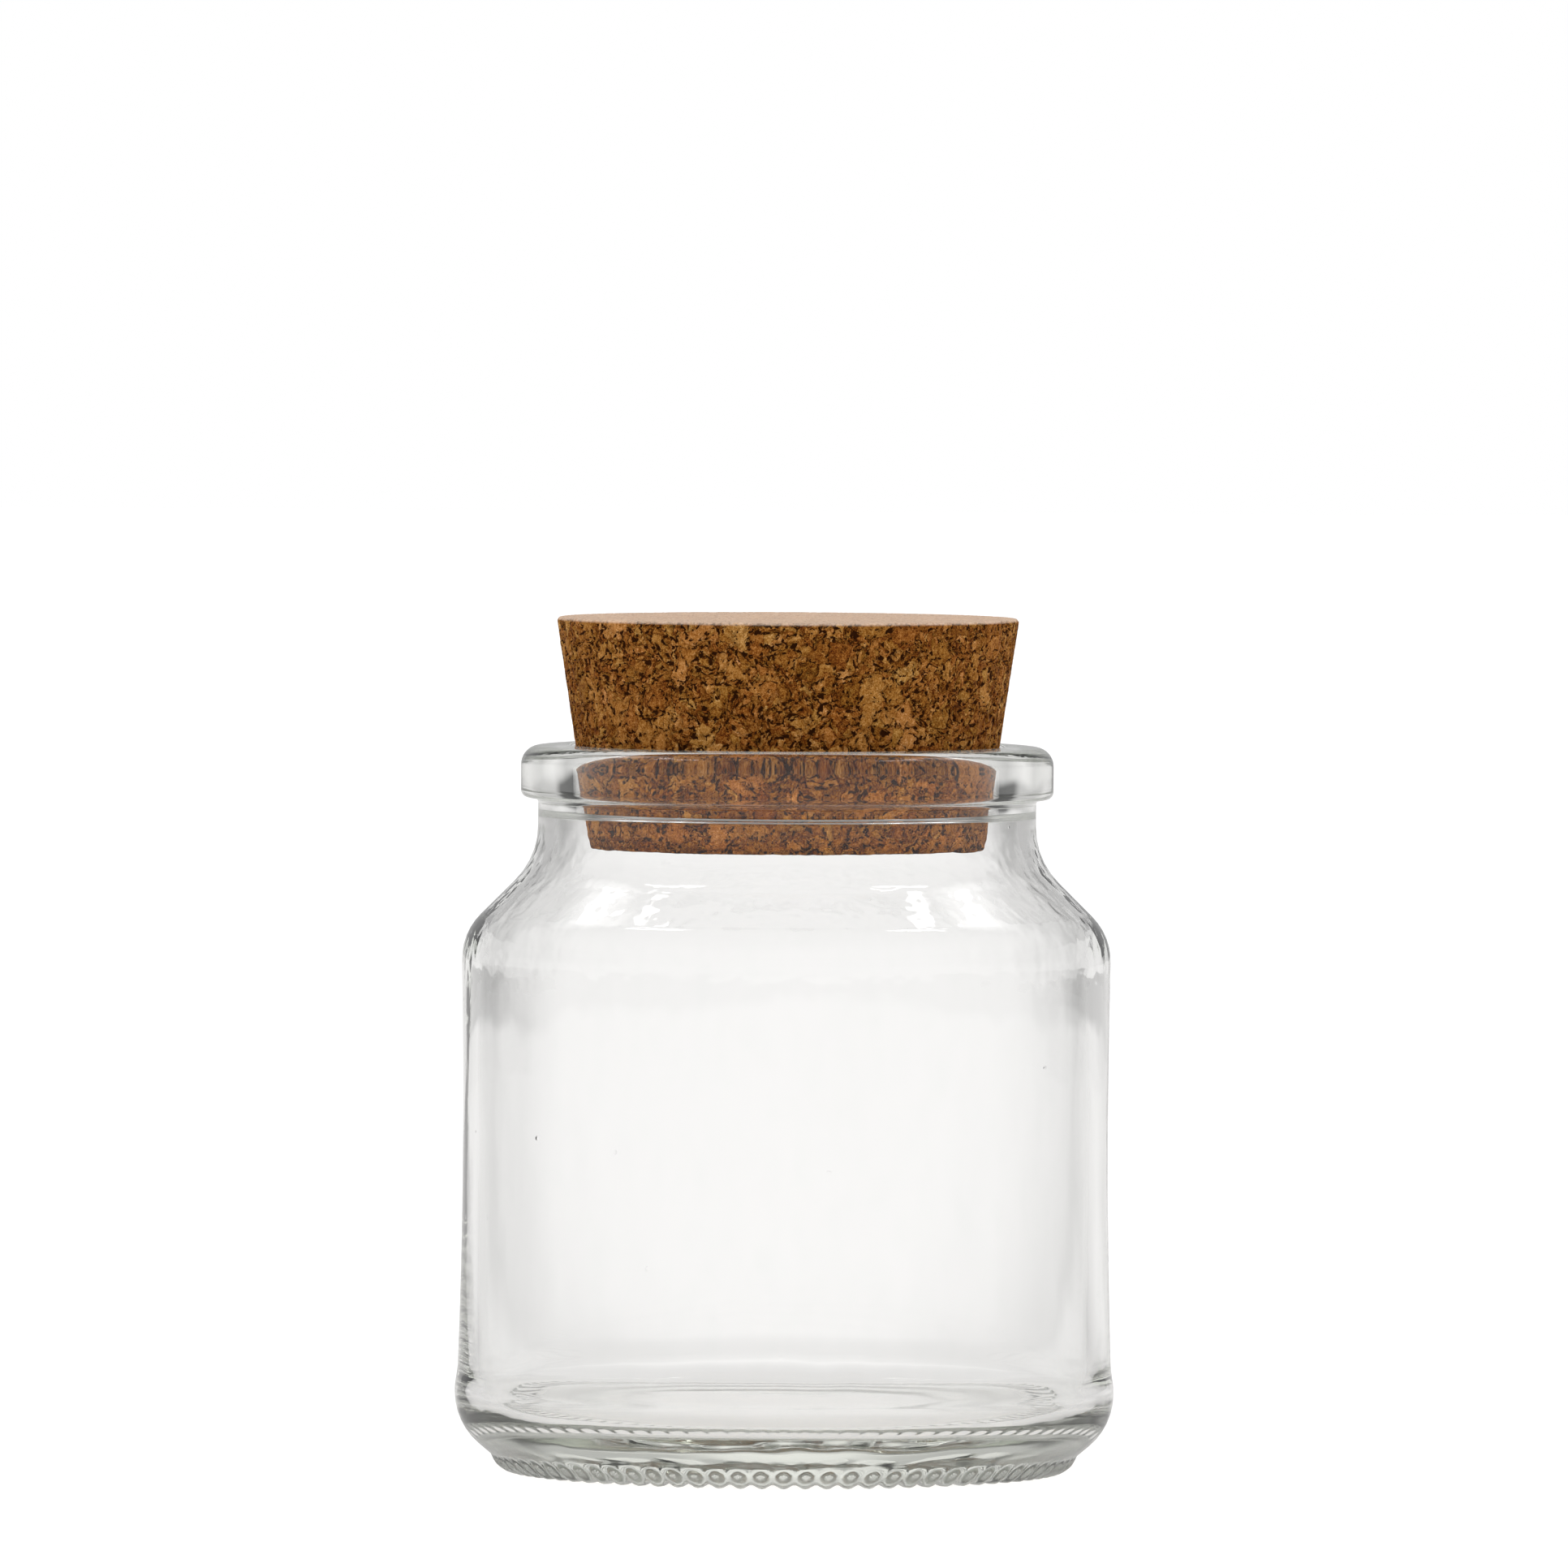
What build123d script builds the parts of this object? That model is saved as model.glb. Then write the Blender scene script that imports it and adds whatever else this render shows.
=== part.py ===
"""Glass storage jar with a tapered cork stopper.

The jar is one moulded piece: a round body whose waist is slightly drawn in between two contact
rings, a sloping shoulder, a short neck under a wide bead, a domed underside and a ring of rounded
knurls that it stands on. The mouth is a thick ring of glass that ends in a ledge inside the neck.
The stopper is one piece of bonded cork granules, a cone that wedges in the mouth and lifts
straight out.

Frame: Z up, the jar's axis on Z, the origin on the plane that the knurls stand on. Millimetres.
"""

import os
from math import atan2, cos, radians, sin, tan

from build123d import *

# Jar: heights above the plane it stands on, and lengths along the axis
jar_height = 88.3
bead_height = 6.5
neck_length = 3.4
waist_height = 36.8
foot_ring_height = 10.4
foot_ring_fade = 2.2

# Jar: outside radius at the widest ring, and how far the other rings lie inside or outside it
foot_ring_radius = 40.0
foot_rim_draw = 0.35
waist_draw = 0.85
shoulder_draw = 0.55
shoulder_step = 9.25
bead_overhang = 2.1
heel_width = 6.3

# Jar: outside slopes, in degrees from the vertical, the fall of the lip, and rounds. A round takes
# at most the stated share of its edges.
shoulder_slope = 45.0
heel_slope = 50.0
lip_fall = 0.3
bead_top_round = 2.3
bead_bottom_round = 0.9
bead_root_round = 0.7
neck_round = 9.5
shoulder_round = 7.75
foot_rim_round = 12.0
foot_ring_round = 6.0
heel_round = 8.0
bearing_round = 1.6
round_room_share = 0.98

# Jar: inside
wall = 2.5
shoulder_wall = 2.0
neck_wall = 2.2
mouth_wall = 4.5
mouth_depth = 8.3
ledge_slope = 84.0
lip_round = 1.3
mouth_round = 0.35
ledge_round = 0.4
inner_neck_round = 11.5
inner_shoulder_round = 5.25
inner_foot_round = 3.0
floor_thickness = 5.0
floor_crown = 0.8

# Jar: underside
bearing_width = 4.4
dome_rise = 2.0
dome_edge_round = 2.0

# Knurls: rounded ribs that lie radially round the underside and turn up the heel
knurl_count = 80
knurl_height = 0.55
knurl_radius = 1.0
knurl_flat_depth = 0.05
knurl_bend = 1.6
knurl_heel_length = 1.2
knurl_bearing_length = 1.4

# Cork stopper
cork_height = 28.2
cork_depth = 12.8
cork_taper = 8.6
cork_top_round = 0.5
cork_bottom_round = 0.8
seat_clearance = 0.1

# Corners of the jar's section, worked out from the sizes above
shoulder_angle = radians(shoulder_slope)
heel_angle = radians(heel_slope)
foot_rim_radius = foot_ring_radius - foot_rim_draw
waist_radius = foot_ring_radius - waist_draw
shoulder_radius = foot_ring_radius - shoulder_draw
neck_radius = shoulder_radius - shoulder_step
bead_radius = neck_radius + bead_overhang
bore_radius = neck_radius - mouth_wall
inner_neck_radius = neck_radius - neck_wall
inner_radius = waist_radius - wall
bearing_radius = foot_ring_radius - heel_width
bearing_inner_radius = bearing_radius - bearing_width
dome_top = knurl_height + dome_rise
floor_top = dome_top + floor_thickness
floor_edge_height = floor_top - floor_crown
heel_height = knurl_height + (foot_ring_radius - bearing_radius) / tan(heel_angle)
foot_rim_height = foot_ring_height + foot_ring_fade
bead_bottom = jar_height - bead_height
lip_edge_height = jar_height - lip_fall
neck_corner_height = bead_bottom - neck_length - neck_round * tan(shoulder_angle / 2)
mouth_bottom = jar_height - mouth_depth
ledge_foot_height = mouth_bottom - (inner_neck_radius - bore_radius) / tan(radians(ledge_slope))


def outer_slope_height(radius):
    """Height of the shoulder's straight outer slope at a radius."""
    return neck_corner_height - (radius - neck_radius) / tan(shoulder_angle)


def inner_slope_height(radius):
    """Height of the shoulder's inner slope at a radius, one shoulder wall inside the outer one."""
    return outer_slope_height(radius) - shoulder_wall / sin(shoulder_angle)


def fitted_rounds(wanted):
    """Radii for the rounds at a row of corners, each no larger than its two edges leave room for.

    The first and last entries are the ends of the row and have no round.
    """
    points = [Vector(radius, height) for radius, height, _ in wanted]
    edges = [end - start for start, end in zip(points, points[1:])]
    turns = [edge.get_angle(following) for edge, following in zip(edges, edges[1:])]
    sizes = [size for _, _, size in wanted[1:-1]]
    reaches = [size * tan(radians(turn) / 2) for size, turn in zip(sizes, turns)]
    shares = [round_room_share * edge.length for edge in edges]
    before = [0, *reaches]
    after = [*reaches, 0]
    room = [min(1, share / (start + end)) for share, start, end in zip(shares, before, after)]
    return [size * min(pair) for size, pair in zip(sizes, zip(room, room[1:]))]


# One knurl: a round rib with ball ends, cut flat where it stands
across_heel = knurl_height - knurl_radius
knurl_axis_height = knurl_radius - knurl_flat_depth
knurl_bend_run = (knurl_axis_height - knurl_height + across_heel * sin(heel_angle)) / cos(heel_angle)
knurl_bend_radius = bearing_radius + across_heel * cos(heel_angle) + knurl_bend_run * sin(heel_angle)
knurl_route = [
    (
        knurl_bend_radius + knurl_heel_length * sin(heel_angle),
        knurl_axis_height + knurl_heel_length * cos(heel_angle),
    ),
    (knurl_bend_radius, knurl_axis_height),
    (knurl_bend_radius - knurl_bearing_length, knurl_axis_height),
]
with BuildPart() as knurl:
    with BuildLine(Plane.XZ) as knurl_spine:
        FilletPolyline(*knurl_route, radius=knurl_bend)
    with BuildSketch(Plane(origin=knurl_spine.line @ 0, z_dir=knurl_spine.line % 0)):
        Circle(knurl_radius)
    sweep(path=knurl_spine.line)
    with Locations(knurl_spine.line @ 0, knurl_spine.line @ 1):
        Sphere(knurl_radius)
    split(bisect_by=Plane.XY, keep=Keep.TOP)

# Glass jar: the half section turned about the axis, with the knurls round its underside
rounds = [
    (bearing_inner_radius, knurl_height, dome_edge_round),
    (bearing_radius, knurl_height, bearing_round),
    (foot_ring_radius, heel_height, heel_round),
    (foot_ring_radius, foot_ring_height, foot_ring_round),
    (foot_rim_radius, foot_rim_height, foot_rim_round),
    (shoulder_radius, outer_slope_height(shoulder_radius), shoulder_round),
    (neck_radius, neck_corner_height, neck_round),
    (neck_radius, bead_bottom, bead_root_round),
    (bead_radius, bead_bottom, bead_bottom_round),
    (bead_radius, lip_edge_height, bead_top_round),
    (bore_radius, jar_height, lip_round),
    (bore_radius, mouth_bottom, mouth_round),
    (inner_neck_radius, ledge_foot_height, ledge_round),
    (inner_neck_radius, inner_slope_height(inner_neck_radius), inner_neck_round),
    (inner_radius, inner_slope_height(inner_radius), inner_shoulder_round),
    (inner_radius, floor_edge_height, inner_foot_round),
]
corners = [(radius, height) for radius, height, _ in rounds]
sizes = fitted_rounds([(0, dome_top, 0), *rounds, (0, floor_top, 0)])
shoulder_corner = corners.index((shoulder_radius, outer_slope_height(shoulder_radius)))
with BuildPart() as glass_jar:
    with BuildSketch(Plane.XZ) as jar_section:
        with BuildLine():
            TangentArc((0, dome_top), corners[0], tangent=(1, 0))
            Polyline(*corners[:shoulder_corner])
            ThreePointArc(
                corners[shoulder_corner - 1],
                (waist_radius, waist_height),
                corners[shoulder_corner],
            )
            Polyline(*corners[shoulder_corner:])
            TangentArc((0, floor_top), corners[-1], tangent=(1, 0))
            Line((0, floor_top), (0, dome_top))
        make_face()
        for place, size in zip(corners, sizes):
            corner = jar_section.vertices().sort_by_distance(Vector(*place))[0]
            fillet(corner, size)
    revolve(axis=Axis.Z)
    with PolarLocations(0, knurl_count):
        add(knurl.part)
glass_jar.part.label = "glass_jar"

# Cork stopper: a cone that seats on the round of the lip, a clearance away from it
taper = radians(cork_taper)
lip_tilt = atan2(lip_fall, bead_radius - bore_radius)
lip_centre_radius = bore_radius + lip_round
lip_centre_height = jar_height - lip_round * (tan(lip_tilt) + 1 / cos(lip_tilt))
cork_base = jar_height - cork_depth
seat_reach = (lip_centre_height - cork_base) * sin(taper) + lip_round + seat_clearance
cork_base_radius = lip_centre_radius - seat_reach / cos(taper)
cork_top_radius = cork_base_radius + cork_height * tan(taper)
cork_top = cork_base + cork_height
with BuildPart() as cork_stopper:
    with BuildSketch(Plane.XZ) as cork_section:
        with BuildLine():
            Polyline(
                (0, cork_base),
                (cork_base_radius, cork_base),
                (cork_top_radius, cork_top),
                (0, cork_top),
                close=True,
            )
        make_face()
        edge_corners = cork_section.vertices().group_by(Axis.X)
        fillet(edge_corners[-1], cork_top_round)
        fillet(edge_corners[1], cork_bottom_round)
    revolve(axis=Axis.Z)
cork_stopper.part.label = "cork_stopper"

os.makedirs("parts", exist_ok=True)
export_step(glass_jar.part, "parts/glass_jar.step")
export_step(cork_stopper.part, "parts/cork_stopper.step")

print(f"cork radii {cork_base_radius:.3f} and {cork_top_radius:.3f}, top at {cork_top:.3f}")
print(f"glass volume {glass_jar.part.volume:.0f}")
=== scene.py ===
"""Finished look of a moulded glass storage jar and its bonded cork stopper, in a plain studio."""

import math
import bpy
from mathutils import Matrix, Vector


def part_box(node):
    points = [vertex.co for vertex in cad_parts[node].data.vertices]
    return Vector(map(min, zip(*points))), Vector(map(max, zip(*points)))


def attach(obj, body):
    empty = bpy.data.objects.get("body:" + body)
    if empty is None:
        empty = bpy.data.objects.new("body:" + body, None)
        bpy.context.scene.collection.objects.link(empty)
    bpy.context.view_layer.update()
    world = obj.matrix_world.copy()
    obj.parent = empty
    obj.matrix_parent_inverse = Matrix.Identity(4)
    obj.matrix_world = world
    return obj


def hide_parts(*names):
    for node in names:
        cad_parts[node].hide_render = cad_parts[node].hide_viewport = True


bl_info = {
    "name": "Cork Jar",
    "version": (1, 0, 0),
    "blender": (4, 5, 0),
    "location": "3D View > Sidebar > Cork Jar",
    "description": "Models a glass jar and its cork stopper around a fixed frame",
    "category": "Object",
}

import bmesh
import bpy
from bpy.props import FloatProperty, FloatVectorProperty, IntProperty, PointerProperty
from mathutils import Matrix, Vector, noise

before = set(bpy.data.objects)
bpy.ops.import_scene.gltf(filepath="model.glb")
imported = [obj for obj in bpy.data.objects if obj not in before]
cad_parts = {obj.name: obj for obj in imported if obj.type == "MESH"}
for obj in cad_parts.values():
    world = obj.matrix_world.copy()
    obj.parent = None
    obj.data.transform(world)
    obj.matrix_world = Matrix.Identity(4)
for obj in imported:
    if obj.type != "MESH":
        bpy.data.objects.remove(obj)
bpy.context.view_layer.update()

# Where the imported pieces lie, in metres
MM = 0.001
jar_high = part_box("glass_jar")[1]
cork_low, cork_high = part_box("cork_stopper")


def length(name, description, millimetres):
    """A length property whose default is given in millimetres."""
    return FloatProperty(
        name=name, description=description, default=millimetres * MM, unit="LENGTH", precision=5
    )


def angle(name, description, degrees):
    """An angle property whose default is given in degrees."""
    return FloatProperty(
        name=name, description=description, default=math.radians(degrees), subtype="ANGLE"
    )


def amount(name, description, value):
    """A plain number property."""
    return FloatProperty(name=name, description=description, default=value, precision=4)


def colour(name, description, red, green, blue):
    """A colour property, in linear light."""
    return FloatVectorProperty(
        name=name, description=description, default=(red, green, blue), size=3, subtype="COLOR"
    )


class JarSizes(bpy.types.PropertyGroup):
    """Sizes and colours of the glass jar."""

    lip_height: length("Lip height", "Height of the corner that the lip is rounded from", 88.3)
    bead_height: length("Bead height", "Height of the bead under the lip", 6.5)
    neck_length: length("Neck length", "Straight part of the neck under the bead", 3.4)
    waist_height: length("Waist height", "Height of the narrowest place of the body", 36.8)
    foot_ring_height: length("Foot ring height", "Height of the widest ring's top", 10.4)
    foot_ring_fade: length("Foot ring fade", "Height over which the widest ring fades out", 2.2)
    foot_rim_draw: length("Foot rim draw", "How far the body over the foot lies in", 0.35)
    waist_draw: length("Waist draw", "How far the waist lies in", 0.85)
    shoulder_draw: length("Shoulder draw", "How far the shoulder lies in", 0.55)
    shoulder_step: length("Shoulder step", "How much wider the shoulder is than the neck", 9.25)
    bead_overhang: length("Bead overhang", "How far the bead stands out of the neck", 2.1)
    heel_width: length("Heel width", "How far the bearing ring lies in", 6.3)
    shoulder_slope: angle("Shoulder slope", "Slope of the shoulder from the vertical", 45.0)
    heel_slope: angle("Heel slope", "Slope of the heel from the vertical", 50.0)
    lip_fall: length("Lip fall", "How far the lip falls from the bore to the bead", 0.3)
    bead_top_round: length("Bead top round", "Round between the lip and the bead", 2.3)
    bead_bottom_round: length("Bead bottom round", "Round under the bead", 0.9)
    bead_root_round: length("Bead root round", "Round between the bead and the neck", 0.7)
    neck_round: length("Neck round", "Round between the neck and the shoulder", 9.5)
    shoulder_round: length("Shoulder round", "Round between the shoulder and the body", 7.75)
    foot_rim_round: length("Foot rim round", "Round over the widest ring", 12.0)
    foot_ring_round: length("Foot ring round", "Round of the widest ring", 6.0)
    heel_round: length("Heel round", "Round between the body and the heel", 8.0)
    bearing_round: length("Bearing round", "Round between the heel and the bearing ring", 1.6)
    wall: length("Wall", "Thickness of the body's wall", 2.5)
    shoulder_wall: length("Shoulder wall", "Thickness of the shoulder's wall", 2.0)
    neck_wall: length("Neck wall", "Thickness of the neck's wall", 2.2)
    lip_wall: length("Lip wall", "Thickness of the ring that holds the cork, without its bead", 4.5)
    bore_depth: length("Bore depth", "Depth of the narrow bore under the lip", 8.3)
    ledge_slope: angle("Ledge slope", "Slope of the ledge under the bore from the vertical", 84.0)
    lip_round: length("Lip round", "Round between the lip and the bore", 1.3)
    bore_round: length("Bore round", "Round at the bore's lower end", 0.35)
    ledge_round: length("Ledge round", "Round between the ledge and the neck's inner wall", 0.4)
    inner_neck_round: length("Inner neck round", "Round inside the neck", 11.5)
    inner_shoulder_round: length("Inner shoulder round", "Round inside the shoulder", 5.25)
    inner_foot_round: length("Inner foot round", "Round inside the foot", 3.0)
    floor_thickness: length("Floor thickness", "Thickness of the floor on the axis", 5.0)
    floor_crown: length("Floor crown", "How far the floor rises to the axis", 0.8)
    bearing_width: length("Bearing width", "Width of the bearing ring", 4.4)
    dome_rise: length("Dome rise", "How far the underside rises to the axis", 2.0)
    dome_edge_round: length("Dome edge round", "Round between the dome and the bearing ring", 2.0)
    knurl_count: IntProperty(name="Knurls", description="Knurls round the foot", default=80)
    knurl_height: length("Knurl height", "How far a knurl stands out", 0.55)
    knurl_radius: length("Knurl radius", "Radius of a knurl's section", 1.0)
    knurl_flat_depth: length("Knurl flat", "Depth of the flat that a knurl stands on", 0.05)
    knurl_bend: length("Knurl bend", "Radius of a knurl's bend up the heel", 1.6)
    knurl_heel_length: length("Knurl heel length", "Length of a knurl up the heel", 1.2)
    knurl_bearing_length: length("Knurl bearing length", "Length of a knurl inwards", 1.4)
    ripple: length("Ripple", "Depth of the waves that moulding leaves inside the wall", 0.10)
    skin_ripple: length("Skin ripple", "Depth of the waves on the outside", 0.02)
    tint: colour("Tint", "Colour that thick glass turns the light", 0.86, 0.89, 0.82)
    tint_density: amount("Tint density", "How strongly a metre of glass takes its tint", 13.0)
    index: amount("Index", "Index of refraction of soda-lime glass", 1.52)
    worn_height: length("Worn height", "Height up to which the knurled zone is dull", 2.2)
    worn_rough: amount("Worn rough", "Roughness of the knurled zone", 0.22)
    seed_spacing: length("Seed spacing", "Mean distance between the seeds in the glass", 9.0)
    seed_size: length("Seed size", "Reach of a seed's dimple", 0.35)
    seed_rarity: amount("Seed rarity", "Share of the places for seeds that hold none", 0.55)
    seed_depth: amount("Seed depth", "Depth of a seed's dimple, as a share of the waves", 1.5)
    hammered_from: length("Hammered from", "Height at which the shoulder's fine waves start", 61.0)
    hammered_to: length("Hammered to", "Height at which the shoulder's fine waves end", 77.0)


class CorkSizes(bpy.types.PropertyGroup):
    """Sizes and colours of the cork stopper."""

    base_radius: length("Base radius", "Radius of the cone at the cork's base", 23.85)
    top_radius: length("Top radius", "Radius of the cone at the cork's top", 28.12)
    top_round: length("Top round", "Round of the top edge", 0.5)
    base_round: length("Base round", "Round of the worn bottom edge", 0.8)
    row: length("Row", "Spacing of the mesh along the side", 0.36)
    ring: length("Ring", "Spacing of the mesh across the faces", 0.95)
    granule: length("Granule", "Width of a large granule", 2.7)
    crumb: length("Crumb", "Width of a middling granule", 1.25)
    grit: length("Grit", "Width of a small granule", 0.62)
    relief: length("Relief", "Depth of the gaps between the granules", 0.38)
    worn: length("Worn", "Height of the worn edge at the base", 0.9)
    pale: colour("Pale", "Colour of the palest grain", 0.50, 0.29, 0.125)
    light: colour("Light", "Colour of light grain", 0.315, 0.15, 0.039)
    tan: colour("Tan", "Colour of most granules", 0.195, 0.074, 0.0105)
    brown: colour("Brown", "Colour of dark grain", 0.135, 0.044, 0.0045)
    umber: colour("Umber", "Colour of the darkest grain", 0.060, 0.0125, 0.0008)
    # The bark colour is also painted into the open gaps between the granules as shade.
    bark: colour("Bark", "Colour of the bits of dark bark", 0.022, 0.0055, 0.0006)
    ruddy: colour("Ruddy", "Turn of the reddish granules", 1.07, 0.945, 0.95)
    golden: colour("Golden", "Turn of the yellowish granules", 0.99, 1.03, 0.90)
    sanded: colour("Sanded", "Colour that sanding dust leaves on the top", 0.62, 0.465, 0.355)


class StudioSizes(bpy.types.PropertyGroup):
    """Camera, lamps and backdrop."""

    camera_distance: length("Camera distance", "Distance of the camera from the axis", 2500.0)
    camera_height: length("Camera height", "Height of the camera above the floor", 165.0)
    frame_width: length("Frame width", "Width of the picture at the axis", 190.2)
    aim_height: length("Aim height", "Height that the middle of the picture shows", 83.5)
    aim_side: length("Aim side", "How far to the side the middle of the picture lies", -0.4)
    camera_roll: angle("Camera roll", "Roll of the camera about its own axis", 0.3)
    lamp_reach: length("Lamp reach", "Distance of the softboxes from the jar", 900.0)
    lamp_rise: angle("Lamp rise", "How high the softboxes stand", 50.0)
    lamp_turn: angle("Lamp turn", "How far the softboxes stand behind the jar", 38.0)
    lamp_width: length("Lamp width", "Width of a softbox", 130.0)
    lamp_length: length("Lamp length", "Length of a softbox", 100.0)
    lamp_power: amount("Lamp power", "Power of each softbox in watts", 0.16)
    white: amount("White", "Level that glass shows of the table straight behind", 0.98)
    warmth: colour("Warmth", "Colour of the white that glass shows", 1.0, 0.988, 0.98)
    softbox: amount("Softbox", "Level of a softbox in glass and gloss, but for its middle", 1.2)
    softbox_core: amount("Softbox core", "Level of the middle of a softbox", 6.0)
    softbox_edge: angle("Softbox edge", "How far from its middle a softbox fades out", 13.0)
    core_edge: angle("Core edge", "How far from its middle the brightest part fades out", 3.5)
    star_edge: angle("Star edge", "How far from its middle the small lamp fades out", 2.4)
    streak_edge: angle("Streak edge", "How far from its middle line the strip fades out", 1.6)
    small_lamps: amount("Small lamps", "Level of the small lamp and the strip", 9.0)
    ceiling: amount("Ceiling", "Level that glass shows overhead", 0.25)
    # Painted shadow of the jar on the floor, as glass shows it: its reach, the reach where it ends,
    # and its level
    painted_shadow_reach: length("Floor near", "Reach of the floor that the jar shades", 45.0)
    floor_far: length("Floor far", "Reach at which the floor is lit in full", 210.0)
    painted_shadow_level: amount("Floor dim", "Level that glass shows of the floor near it", 0.80)
    mirrored: amount("Mirrored", "Level that gloss shows of the dim room", 0.3)
    mirrored_above: amount("Mirrored above", "Level that gloss shows overhead", 0.15)
    mirrored_behind: amount("Mirrored behind", "Level that gloss shows of the table behind", 0.80)
    mirrored_beyond: amount("Mirrored beyond", "Level that gloss shows of the backdrop", 0.5)
    table_reach: length("Table reach", "Reach of the white table, before the backdrop", 2000.0)
    backdrop_reach: length("Backdrop reach", "Reach at which the backdrop is all there is", 2700.0)
    # Painted pool of light on the floor, as gloss shows it:
    floor_gloss: amount("Floor gloss", "Level that gloss shows of the floor near it", 0.5)
    floor_lit: length("Floor lit", "Reach of the floor that gloss shows lit", 900.0)
    floor_unlit: length("Floor unlit", "Reach at which gloss shows a dim floor", 2000.0)
    front_light: amount("Front light", "Level of the light from the front and the back", 1.05)
    side_light: amount("Side light", "Level of the light from the sides", 2.0)
    light_within: colour("Light within", "Light that reaches an object through glass", 4.2, 3.4, 2.0)
    floor_size: length("Floor size", "Side of the floor", 12000.0)
    floor_white: amount("Floor white", "Level of the floor's own white", 1.1)
    floor_share: amount("Floor share", "Share of the floor's own white", 0.82)
    floor_shown: amount("Floor shown", "Share of the floor's own white in glass", 0.92)


def rounded_outline(corners, finest_turn):
    """Points along (radius, height, round) corners, with an arc at each corner that has a round."""
    points = []
    for index, (radius, height, size) in enumerate(corners):
        here = Vector((radius, height))
        if size == 0:
            points.append(here)
            continue
        into = (here - Vector(corners[index - 1][:2])).normalized()
        away = (Vector(corners[index + 1][:2]) - here).normalized()
        turn = math.atan2(into.cross(away), into.dot(away))
        start = here - into * size * math.tan(abs(turn) / 2)
        centre = start + Vector((-into.y, into.x)) * math.copysign(size, turn)
        steps = max(2, math.ceil(abs(turn) / finest_turn))
        for step in range(steps + 1):
            points.append(centre + Matrix.Rotation(turn * step / steps, 2) @ (start - centre))
    return points


def spaced(points, span_at):
    """The same outline with points added where two lie further apart than span_at says."""
    filled = [points[0]]
    for start, end in zip(points, points[1:]):
        parts = max(1, math.ceil((end - start).length / span_at((start + end) / 2)))
        filled += [start.lerp(end, part / parts) for part in range(1, parts + 1)]
    return filled


def bulge(start, middle, end, count):
    """Corners without rounds on the arc from start to end that passes near middle."""
    places = [part / (count + 1) for part in range(1, count + 1)]
    peak = (middle[1] - start[1]) / (end[1] - start[1])
    draw = middle[0] - (start[0] + (end[0] - start[0]) * peak)
    share = draw / (peak * (1 - peak))
    return [
        (
            start[0] + (end[0] - start[0]) * t + share * t * (1 - t),
            start[1] + (end[1] - start[1]) * t,
            0,
        )
        for t in places
    ]


def crown(centre_height, edge_radius, edge_height, count):
    """Corners without rounds from the axis out along an arc that starts level."""
    rise = centre_height - edge_height
    size = (edge_radius**2 + rise**2) / (2 * rise)
    radii = [edge_radius * part / count for part in range(count)]
    return [(r, centre_height - size + math.sqrt(size**2 - r**2), 0) for r in radii]


def jar_outline(jar, body_radius):
    """The jar's half section, from the axis underneath, over the lip, to the axis inside."""
    waist = body_radius - jar.waist_draw
    shoulder = body_radius - jar.shoulder_draw
    rim = body_radius - jar.foot_rim_draw
    neck = shoulder - jar.shoulder_step
    bead = neck + jar.bead_overhang
    bore = neck - jar.lip_wall
    inner_neck = neck - jar.neck_wall
    inside = waist - jar.wall
    bearing = body_radius - jar.heel_width
    bearing_inner = bearing - jar.bearing_width
    dome_top = jar.knurl_height + jar.dome_rise
    floor_top = dome_top + jar.floor_thickness
    floor_edge = floor_top - jar.floor_crown
    heel_top = jar.knurl_height + jar.heel_width / math.tan(jar.heel_slope)
    rim_height = jar.foot_ring_height + jar.foot_ring_fade
    bead_bottom = jar.lip_height - jar.bead_height
    slope = math.tan(jar.shoulder_slope)
    neck_corner = bead_bottom - jar.neck_length - jar.neck_round * math.tan(jar.shoulder_slope / 2)
    shoulder_height = neck_corner - (shoulder - neck) / slope
    inner_drop = jar.shoulder_wall / math.sin(jar.shoulder_slope)
    bore_bottom = jar.lip_height - jar.bore_depth
    ledge_foot = bore_bottom - (inner_neck - bore) / math.tan(jar.ledge_slope)
    corners = [
        *crown(dome_top, bearing_inner, jar.knurl_height, DOME_RINGS),
        (bearing_inner, jar.knurl_height, jar.dome_edge_round),
        (bearing, jar.knurl_height, jar.bearing_round),
        (body_radius, heel_top, jar.heel_round),
        (body_radius, jar.foot_ring_height, jar.foot_ring_round),
        (rim, rim_height, jar.foot_rim_round),
        *bulge(
            (rim, rim_height), (waist, jar.waist_height), (shoulder, shoulder_height), WAIST_RINGS
        ),
        (shoulder, shoulder_height, jar.shoulder_round),
        (neck, neck_corner, jar.neck_round),
        (neck, bead_bottom, jar.bead_root_round),
        (bead, bead_bottom, jar.bead_bottom_round),
        (bead, jar.lip_height - jar.lip_fall, jar.bead_top_round),
        (bore, jar.lip_height, jar.lip_round),
        (bore, bore_bottom, jar.bore_round),
        (inner_neck, ledge_foot, jar.ledge_round),
        (inner_neck, neck_corner - (inner_neck - neck) / slope - inner_drop, jar.inner_neck_round),
        (inside, neck_corner - (inside - neck) / slope - inner_drop, jar.inner_shoulder_round),
        (inside, floor_edge, jar.inner_foot_round),
        *reversed(crown(floor_top, inside, floor_edge, FLOOR_RINGS)),
    ]
    return rounded_outline(corners, ROUND_TURN)


# Resolution of the jar's mesh
ROUND_TURN = math.radians(9.0)
DOME_RINGS = 6
WAIST_RINGS = 10
FLOOR_RINGS = 6
STEPS_PER_KNURL = 7
WEDGE_DOUBLINGS = 4
KNURL_ROW = 0.75 * MM
WALL_ROW = 6.0 * MM

# Waves of the moulded wall, slow and fast: their width, and the share of the height that counts,
# which draws them out upwards. The fast ones are a share as deep as the slow ones.
SLOW_WAVE = (13 * MM, 0.45)
FAST_WAVE = (5 * MM, 0.6)
FAST_SHARE = 0.25

# The cork's mesh
CORK_STEPS = 576
CORK_EDGE_TURN = math.radians(30.0)


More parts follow.
